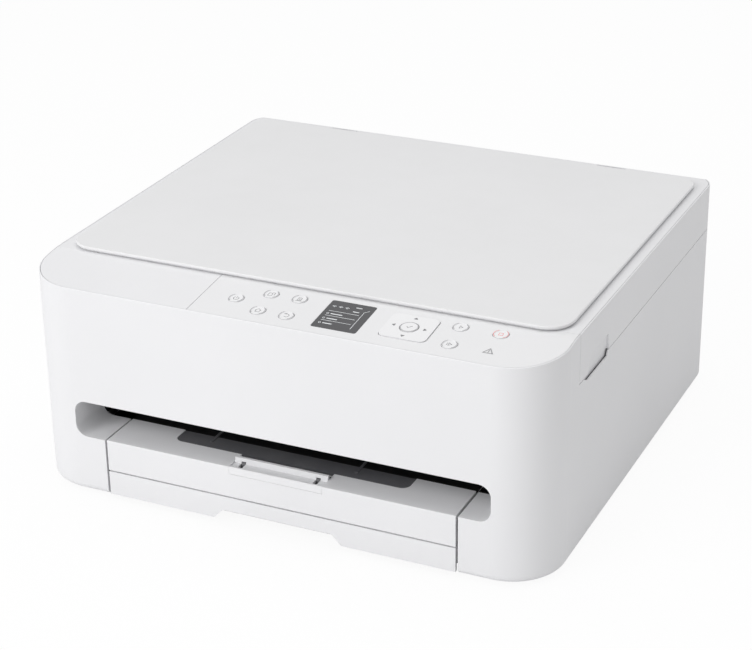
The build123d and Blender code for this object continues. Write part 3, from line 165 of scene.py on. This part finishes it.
def mix_colour(tree, factor, first, second):
    node = tree.nodes.new("ShaderNodeMix")
    node.data_type = "RGBA"
    tree.links.new(factor, node.inputs["Factor"])
    for socket, value in ((node.inputs["A"], first), (node.inputs["B"], second)):
        if isinstance(value, tuple):
            socket.default_value = value
        else:
            tree.links.new(value, socket)
    return node.outputs["Result"]


def plastic(name, light, dark, rough=(0.42, 0.5), depth=0.12, scale=1800.0, dust=0.0, coat=0.0):
    """A moulded plastic with a fine etched grain."""
    made = bpy.data.materials.new(name)
    made.use_nodes = True
    tree = made.node_tree
    shader = tree.nodes["Principled BSDF"]
    skin = use_group(tree, grain, Scale=scale)
    tone = mix_colour(tree, skin.outputs["Tone"], colour(*light), colour(*dark))
    wear = use_group(tree, handling)
    faint = remap(tree, wear.outputs["Mask"], 0.0, 1.0, 0.0, dust)
    tone = mix_colour(tree, faint, tone, colour(*dust_tone))
    tree.links.new(tone, shader.inputs["Base Color"])
    tree.links.new(remap(tree, skin.outputs["Height"], 0.3, 0.7, *rough), shader.inputs["Roughness"])
    bump = tree.nodes.new("ShaderNodeBump")
    bump.inputs["Strength"].default_value = depth
    bump.inputs["Distance"].default_value = grain_height
    tree.links.new(skin.outputs["Height"], bump.inputs["Height"])
    tree.links.new(bump.outputs["Normal"], shader.inputs["Normal"])
    shader.inputs["Coat Weight"].default_value = coat
    return made


def dress(material, *names):
    """Gives CAD nodes a material."""
    for name in names:
        nodes[name].data.materials.clear()
        nodes[name].data.materials.append(material)
    print(material.name, "on", ", ".join(names))


# %% [markdown]
# The casing, the scanner's band, the trays and the cover are one white.
# The cover and the strip are moulded a little smoother, and the inside pieces are a dead black.

# %% Plastics
casing_white = plastic("casing_white", (0.905, 0.905, 0.912), (0.895, 0.895, 0.902), dust=0.04)
cover_white = plastic("cover_white", (0.898, 0.898, 0.902), (0.89, 0.89, 0.894),
                      rough=(0.4, 0.46), depth=0.08, dust=0.05)
panel_white = plastic("panel_white", (0.905, 0.905, 0.91), (0.897, 0.897, 0.902),
                      rough=(0.38, 0.44), depth=0.07)
key_white = plastic("key_white", (0.925, 0.925, 0.93), (0.915, 0.915, 0.92), rough=(0.3, 0.36), depth=0.04)
inlay_grey = plastic("inlay_grey", (0.40, 0.40, 0.41), (0.37, 0.37, 0.385),
                     rough=(0.42, 0.52), depth=0.2, dust=0.05)
engine_black = plastic("engine_black", (0.055, 0.055, 0.058), (0.04, 0.04, 0.042),
                       rough=(0.55, 0.65), depth=0.2)
guide_grey = plastic("guide_grey", (0.45, 0.46, 0.48), (0.42, 0.43, 0.45), depth=0.15)
gear_natural = plastic("gear_natural", (0.86, 0.85, 0.80), (0.82, 0.81, 0.76), rough=(0.3, 0.4), depth=0.05)
cartridge_black = plastic("cartridge_black", (0.08, 0.08, 0.085), (0.06, 0.06, 0.065),
                          rough=(0.25, 0.35), coat=0.2)
rubber_dark = plastic("rubber_dark", (0.09, 0.09, 0.09), (0.07, 0.07, 0.07),
                      rough=(0.7, 0.85), depth=0.35, dust=0.15)
board_green = plastic("board_green", (0.08, 0.30, 0.18), (0.06, 0.25, 0.14),
                      rough=(0.3, 0.4), scale=700.0, coat=0.3)
pad_white = plastic("pad_white", (0.94, 0.94, 0.93), (0.92, 0.92, 0.91),
                    rough=(0.5, 0.6), depth=0.3, scale=900.0)

dress(casing_white, "main_casing", "scanner_tub", "top_frame", "slot_surround", "cassette",
      "output_tray", "paper_stop", "rear_cover")
dress(cover_white, "cover_shell")
dress(panel_white, "control_panel")
key_names = [name for name in nodes if name.startswith("key_")]
dress(key_white, *key_names, "nav_pad")
dress(inlay_grey, "tray_insert", "tray_extension")
dress(engine_black, "paper_tunnel", "roller_holders", "service_station", "carriage", "scan_bar",
      "nav_carrier", "pickup_arm", "sockets", "base_pan")
dress(guide_grey, "guide_left", "guide_right", "rear_guide", "cover_posts")
dress(gear_natural, "idler_gear", "rear_idler_gear", "guide_pinion", "motor_pinion",
      "drive_pulley", "idle_pulley")
dress(cartridge_black, "cartridges")
dress(rubber_dark, "feet", "pickup_roller", "transport_roller", "drive_belt")
dress(board_green, "main_board", "control_board")
dress(pad_white, "pressure_pad")

# %% [markdown]
# Behind the grey inlay the tray's facing is painted black. This is painted shade that stands for the dark
# inside of the machine behind the slot.
# Both are one node, so the painted black is a second material on the faces that lie behind the slot's rear
# edge and below the inlay's own top.

# %% Tray facing
slot_rear_y, facing_top_z = -0.1445, 0.0453
facing = nodes["tray_insert"]
# The engine's black is used here as painted shade: the dark inside of the machine, not a colour of the tray.
facing.data.materials.append(engine_black)
for face in facing.data.polygons:
    place = facing.matrix_world @ face.center
    face.material_index = 1 if place.y > slot_rear_y and place.z < facing_top_z else 0
print("black faces of the tray's facing", sum(face.material_index for face in facing.data.polygons))

# %% [markdown]
# Steel parts come in two finishes: ground shafts with fine rings round them, and zinc-plated sheet
# with a cloudy spangle. Both are metallic, so most of their look is the roughness pattern.

# %% Metals and glass
def metal(name, tone, rough, scale, stretch):
    made = bpy.data.materials.new(name)
    made.use_nodes = True
    tree = made.node_tree
    shader = tree.nodes["Principled BSDF"]
    mapping = tree.nodes.new("ShaderNodeMapping")
    mapping.inputs["Scale"].default_value = stretch
    tree.links.new(tree.nodes.new("ShaderNodeTexCoord").outputs["Object"], mapping.inputs["Vector"])
    lines = noise(tree, mapping.outputs["Vector"], scale, 4.0, 0.6)
    tree.links.new(remap(tree, lines.outputs["Fac"], 0.3, 0.7, *rough), shader.inputs["Roughness"])
    darker = colour(*[t * 0.9 for t in tone])
    tree.links.new(mix_colour(tree, lines.outputs["Fac"], colour(*tone), darker), shader.inputs["Base Color"])
    shader.inputs["Metallic"].default_value = 1.0
    return made


roller_steel = metal("roller_steel", (0.80, 0.80, 0.81), (0.22, 0.36), 900, (6, 1, 1))
sheet_steel = metal("sheet_steel", (0.78, 0.79, 0.80), (0.35, 0.55), 60, (1, 1, 1))
dress(roller_steel, "feed_roller", "exit_roller", "pinch_rollers", "scan_rail", "star_wheels",
      "base_screws", "motors")
dress(sheet_steel, "chassis", "power_supply")

glass_clear = bpy.data.materials.new("glass_clear")
glass_clear.use_nodes = True
shader = glass_clear.node_tree.nodes["Principled BSDF"]
shader.inputs["Base Color"].default_value = (0.86, 0.95, 0.93, 1)
shader.inputs["Roughness"].default_value = 0.02
shader.inputs["Transmission Weight"].default_value = 1.0
shader.inputs["IOR"].default_value = 1.52
dress(glass_clear, "platen_glass")

# %% [markdown]
# The display is a dark smoked window with a faint sheen.
# Its picture is made of separate thin marks further on.
# The warning light next to it is milky: its lens gets a second material, chosen face by face.

# %% Display window
window_dark = plastic("window_dark", (0.30, 0.30, 0.31), (0.27, 0.27, 0.28),
                      rough=(0.18, 0.24), depth=0.02, coat=0.5)
dress(window_dark, "panel_windows")
lens_white = plastic("lens_white", (0.90, 0.90, 0.905), (0.88, 0.88, 0.885), rough=(0.2, 0.28), depth=0.02)
lens_left_x = 0.1  # the display lies left of this, the warning light's lens right of it
windows = nodes["panel_windows"]
windows.data.materials.append(lens_white)
for face in windows.data.polygons:
    face.material_index = 1 if (windows.matrix_world @ face.center).x > lens_left_x else 0

# %% [markdown]
# The strip's signs are printed: flat ink a few hundredths of a millimetre thick.
# Each sign is a handful of thin bars and rings, laid in the strip's own sloping plane,
# and it rides on the key it is on.
# A texture could do it too, but real thin shapes stay sharp from close by and need no picture file.

# %% Ink
def ink(name, tone, rough=0.45):
    """A printed colour that is a little uneven, as ink on moulded plastic is; the display's pale marks use it
    as painted light.
    """
    made = bpy.data.materials.new(name)
    made.use_nodes = True
    tree = made.node_tree
    shader = tree.nodes["Principled BSDF"]
    skin = use_group(tree, grain, Scale=2500.0)
    paler = colour(*[min(1, t * 1.12) for t in tone])
    shade = mix_colour(tree, skin.outputs["Height"], colour(*tone), paler)
    tree.links.new(shade, shader.inputs["Base Color"])
    shader.inputs["Roughness"].default_value = rough
    return made


ink_grey = ink("ink_grey", (0.50, 0.50, 0.51))
ink_ring = ink("ink_ring", (0.60, 0.60, 0.61))
ink_red = ink("ink_red", (0.86, 0.52, 0.52))
# The display's pale colour is painted light, the glow of lit segments, not ink.
painted_display_light = ink("painted_display_light", (0.86, 0.87, 0.88), 0.3)

mm = 0.001
front_y, front_height = -179 * mm, 154 * mm  # the front edge of the strip
strip_drop, strip_depth = 5.0, 48.0
slope = math.atan2(strip_drop, strip_depth)
strip = Matrix.Translation((0, front_y, front_height)) @ Matrix.Rotation(slope, 4, "X")
ink_height = 0.04  # millimetres


def bars(shape, lines, width):
    """Adds thin raised bars along lines; a line is a list of (x, y) in millimetres."""
    for line in lines:
        for (ax, ay), (bx, by) in zip(line, line[1:]):
            reach, turn = math.hypot(bx - ax, by - ay), math.atan2(by - ay, bx - ax)
            place = Matrix.Translation(((ax + bx) / 2, (ay + by) / 2, ink_height / 2))
            stretch = Matrix.Diagonal((reach + width * 0.6, width, ink_height, 1))
            bmesh.ops.create_cube(shape, size=1, matrix=place @ Matrix.Rotation(turn, 4, "Z") @ stretch)


def flat_disc(shape, middle, radius, segments):
    """The face of a flat round disc."""
    made = bmesh.ops.create_circle(shape, cap_ends=True, radius=radius, segments=segments,
                                   matrix=Matrix.Translation((*middle, 0)))
    return list({f for v in made["verts"] for f in v.link_faces})


def raise_faces(shape, faces):
    """Lifts flat faces by the ink's thickness, with walls round them."""
    top = bmesh.ops.extrude_face_region(shape, geom=faces)["geom"]
    lifted = [v for v in top if isinstance(v, bmesh.types.BMVert)]
    bmesh.ops.translate(shape, vec=(0, 0, ink_height), verts=lifted)


def ring(shape, middle, radius, width, segments=64):
    """Adds a thin flat ring."""
    disc = flat_disc(shape, middle, radius, segments)
    rim = bmesh.ops.inset_region(shape, faces=disc, thickness=width, use_boundary=True,
                                 use_even_offset=True)["faces"]
    bmesh.ops.delete(shape, geom=disc, context="FACES")
    raise_faces(shape, rim)


def dot(shape, middle, radius, segments=20):
    """Adds a thin flat dot."""
    raise_faces(shape, flat_disc(shape, middle, radius, segments))


def arc(middle, radius, start, end, steps=12):
    """Points along part of a circle, from one angle in degrees to the other."""
    angles = [math.radians(start + (end - start) * n / steps) for n in range(steps + 1)]
    return [(middle[0] + radius * math.cos(a), middle[1] + radius * math.sin(a)) for a in angles]


def printed(name, u, v, w, body, material, draw):
    """Makes one printed sign at a place on the strip; draw fills a bmesh in millimetres."""
    shape = bmesh.new()
    draw(shape)
    bmesh.ops.recalc_face_normals(shape, faces=shape.faces)
    place = strip @ Matrix.Translation((u * mm, v * mm, w * mm)) @ Matrix.Scale(mm, 4)
    bmesh.ops.transform(shape, matrix=place, verts=shape.verts)
    mesh = bpy.data.meshes.new(name)
    shape.to_mesh(mesh)
    shape.free()
    piece = bpy.data.objects.new(name, mesh)
    bpy.context.scene.collection.objects.link(piece)
    piece.data.materials.append(material)
    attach(piece, body)
    print(name, len(mesh.polygons), "faces")
    return piece


# %% [markdown]
# Every round key has two thin grey arcs near its rim and a small sign in the middle of its shallow dish.
# The stop key's arcs are a soft red, the usual colour for stop.

# %% Key signs
page = [(-1.3, -1.7), (-1.3, 1.7), (0.6, 1.7), (1.3, 1.0), (1.3, -1.7), (-1.3, -1.7)]
signs = {
    "key_power": [arc((0, -0.2), 1.8, 125, 415, 20), [(0, 0.3), (0, 2.2)]],
    "key_copy": [[(x - 0.6, y - 0.4) for x, y in page], [(0.2, 2.0), (2.2, 2.0), (2.2, -1.0)]],
    "key_scan": [page, [(-2.2, -2.3), (2.2, -2.3)], [(-0.6, 0.3), (0.6, 0.3)], [(-0.6, -0.6), (0.6, -0.6)]],
    "key_home": [[(-2.1, 0.1), (0, 2.0), (2.1, 0.1)], [(-1.4, 0.4), (-1.4, -1.8), (1.4, -1.8), (1.4, 0.4)]],
    "key_back": [arc((0.1, 0), 1.7, -130, 110, 16), [(-2.0, 1.6), (-0.6, 1.6), (-0.6, 2.6), (-2.0, 1.6)]],
    "key_start_black": [[(-0.6, -1.5), (-0.6, 1.5), (1.5, 0), (-0.6, -1.5)]],
    "key_start_colour": [[(-0.6, -1.5), (-0.6, 1.5), (1.5, 0), (-0.6, -1.5)], [(-1.7, -1.4), (-1.7, 1.4)]],
    "key_stop": [[(-1.3, -1.3), (-1.3, 1.3), (1.3, 1.3), (1.3, -1.3), (-1.3, -1.3)]],
}
key_places = {
    "key_power": (-36.0, 24.4), "key_copy": (-16.6, 36.3), "key_scan": (3.9, 36.3), "key_home": (-15.2, 14.6),
    "key_back": (5.0, 14.6), "key_start_black": (115.2, 37.0), "key_start_colour": (116.6, 15.6),
    "key_stop": (142.0, 37.0),
}
arc_radius, arc_width, sign_width = 4.7, 0.42, 0.34
arcs = [arc((0, 0), arc_radius, 125, 235), arc((0, 0), arc_radius, -55, 55)]
for key, (u, v) in key_places.items():
    arc_ink, sign_ink = (ink_red, ink_red) if key == "key_stop" else (ink_ring, ink_grey)
    printed(key + "_ring", u, v, 0.4, key, arc_ink, lambda shape: bars(shape, arcs, arc_width))
    printed(key + "_sign", u, v, 0.15, key, sign_ink,
            lambda shape: bars(shape, signs[key], sign_width))

# %% [markdown]
# The navigation pad has an arrow head on each side and the round confirm key in its middle.

# %% Navigation signs
nav_u, nav_v = 85.2, 25.8
sideways_reach, upright_reach = 10.6, 11.0


def arrow_heads(shape):
    for turn in range(4):
        cos, sin = math.cos(turn * math.pi / 2), math.sin(turn * math.pi / 2)
        reach = sideways_reach if turn % 2 == 0 else upright_reach
        tip = [(reach + 0.9, 0), (reach - 0.7, 1.1), (reach - 0.7, -1.1), (reach + 0.9, 0)]
        bars(shape, [[(x * cos - y * sin, x * sin + y * cos) for x, y in tip]], 0.5)
        fill = [(along * cos, along * sin) for along in (reach - 0.2, reach + 0.3)]
        bars(shape, [fill], 0.9)


printed("nav_arrows", nav_u, nav_v, 0.6, "nav_pad", ink_grey, arrow_heads)
printed("key_ok_ring", nav_u, nav_v, 0.9, "key_ok", ink_ring,
        lambda shape: ring(shape, (0, 0), 5.7, 0.4))
printed("key_ok_sign", nav_u, nav_v, 0.9, "key_ok", ink_grey,
        lambda shape: bars(shape, [[(-1.6, 0), (-0.5, -1.1), (1.7, 1.2)]], 0.45))

# %% [markdown]
# The display shows a generic menu: a row of three signal arcs and two short bars, then three ruled
# rows with a dot ring each, and a line along the right side.
# The marks lie just above the smoked window. Their pale colour is painted light: the glow of a lit segment
# seen through it.

# %% Display picture
def menu(shape):
    for y in (4.2, -1.8, -7.8):
        bars(shape, [[(-12.5, y), (8.2, y)]], 0.35)
    bars(shape, [[(10.2, -13.0), (10.2, 8.5), (12.8, 11.0)]], 0.35)
    for y in (0.8, -5.2, -11.2):
        bars(shape, [[(-9.5, y), (-2.0 + y * 0.15, y)]], 0.9)
        ring(shape, (-11.8, y), 0.9, 0.3, segments=24)
    for x in (-11.5, -7.0, -2.4):
        bars(shape, [arc((x, 9.5), 1.5, 30, 150, 8), arc((x, 9.5), 0.8, 30, 150, 6)], 0.35)
        dot(shape, (x, 9.6), 0.35)
    for y in (12.6, 7.4):
        bars(shape, [[(3.0, y), (6.8, y)]], 0.8)


# The display picture is painted light: pale marks for lit segments, drawn with the sign helper.
printed("display_picture", 40.4, 25.4, 0.02, "scanner_unit", painted_display_light, menu)


def warning(shape):
    bars(shape, [[(-3.1, -1.8), (3.1, -1.8), (0, 3.5), (-3.1, -1.8)]], 0.5)
    bars(shape, [[(0, 1.5), (0, -0.2)]], 0.55)
    dot(shape, (0, -1.0), 0.3)


printed("warning_sign", 142.4, 15.4, 0.12, "scanner_unit", ink_grey, warning)

# %% [markdown]
# A large soft lamp at the left front lights the front and the top, and a weaker one above evens the top.
# The right side has only the pale world's light, so the front corner shows as a change of tone.
# The world is pure white only for what the camera sees directly or through glass, so the background
# stays white without washing out the object.

# %% World and lamps
world_light = 0.57
world = bpy.data.worlds.new("studio")
bpy.context.scene.world = world
world.use_nodes = True
tree = world.node_tree
background = tree.nodes["Background"]
path = tree.nodes.new("ShaderNodeLightPath")
seen = tree.nodes.new("ShaderNodeMath")
seen.operation = "MAXIMUM"
tree.links.new(path.outputs["Is Camera Ray"], seen.inputs[0])
tree.links.new(path.outputs["Is Transmission Ray"], seen.inputs[1])
strength = remap(tree, seen.outputs[0], 0.0, 1.0, world_light, 1.0)
background.inputs["Color"].default_value = (1, 1, 1, 1)
tree.links.new(strength, background.inputs["Strength"])


def lamp(name, place, target, size, power):
    data = bpy.data.lights.new(name, "AREA")
    data.size = size
    data.energy = power
    made = bpy.data.objects.new(name, data)
    bpy.context.scene.collection.objects.link(made)
    made.location = place
    made.rotation_euler = (Vector(target) - Vector(place)).to_track_quat("-Z", "Y").to_euler()
    print("lamp", name, power)


lamp("key_lamp", (-0.9, -1.9, 1.2), (0, 0, 0.08), 1.4, 24)
lamp("top_lamp", (0.1, 0.2, 1.9), (0, 0, 0.1), 1.6, 11)

# %% [markdown]
# The floor is a pale matt sheet. The camera sees it mostly as plain white, with a share of the real
# surface left in, so that it keeps the object's shadow.

# %% Floor
floor_half, white_share = 6, 0.93
floor_mesh = bpy.data.meshes.new("floor")
shape = bmesh.new()
bmesh.ops.create_grid(shape, x_segments=1, y_segments=1, size=floor_half)
shape.to_mesh(floor_mesh)
shape.free()
floor = bpy.data.objects.new("floor", floor_mesh)
bpy.context.scene.collection.objects.link(floor)
floor_paint = bpy.data.materials.new("floor_paint")
floor_paint.use_nodes = True
tree = floor_paint.node_tree
plain = tree.nodes["Principled BSDF"]
plain.inputs["Base Color"].default_value = (0.9, 0.9, 0.9, 1)
plain.inputs["Roughness"].default_value = 0.9
glow = tree.nodes.new("ShaderNodeEmission")
glow.inputs["Color"].default_value = (1, 1, 1, 1)
choice = tree.nodes.new("ShaderNodeMixShader")
path = tree.nodes.new("ShaderNodeLightPath")
share = remap(tree, path.outputs["Is Camera Ray"], 0, 1, 0.0, white_share)
tree.links.new(share, choice.inputs[0])
tree.links.new(plain.outputs[0], choice.inputs[1])
tree.links.new(glow.outputs[0], choice.inputs[2])
tree.links.new(choice.outputs[0], tree.nodes["Material Output"].inputs["Surface"])
floor.data.materials.append(floor_paint)

# %% [markdown]
# The view transform is Standard, so a colour renders about as it is written.

# %% Finish
bpy.context.scene.view_settings.view_transform = "Standard"
